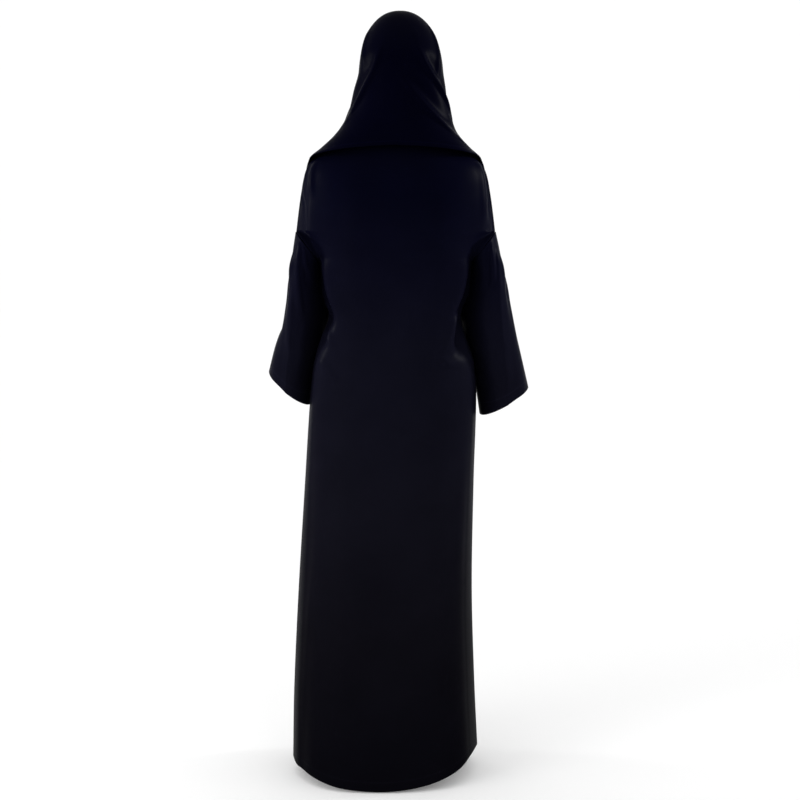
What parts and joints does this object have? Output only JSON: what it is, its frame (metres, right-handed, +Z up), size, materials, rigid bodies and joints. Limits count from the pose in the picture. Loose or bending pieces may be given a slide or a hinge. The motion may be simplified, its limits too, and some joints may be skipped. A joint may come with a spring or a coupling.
{
  "type": "sleeved chador with head veil",
  "caption": "Full-length loose black robe with dropped shoulders, wide sleeves and a head veil, hollow in its worn form, open at the face, neck, cuffs and hem.",
  "frame": {"origin": "where the wearer's crown meets the inside of the veil, which is the point that holds the garment up", "axes": "+Z up, -Y the way that the garment's front faces, +X towards the wearer's left side"},
  "size_m": [0.5567, 0.3323, 1.6025],
  "materials": {
    "robe_crepe": "smooth black crepe with a soft satin sheen and a faint blue cast",
    "veil_crepe": "smooth black crepe, slightly deeper than the robe"
  },
  "bodies": {
    "root": {"robe_back": "robe_crepe", "robe_front": "robe_crepe", "sleeve_left": "robe_crepe", "sleeve_right": "robe_crepe", "veil": "veil_crepe"}
  },
  "joints": []
}
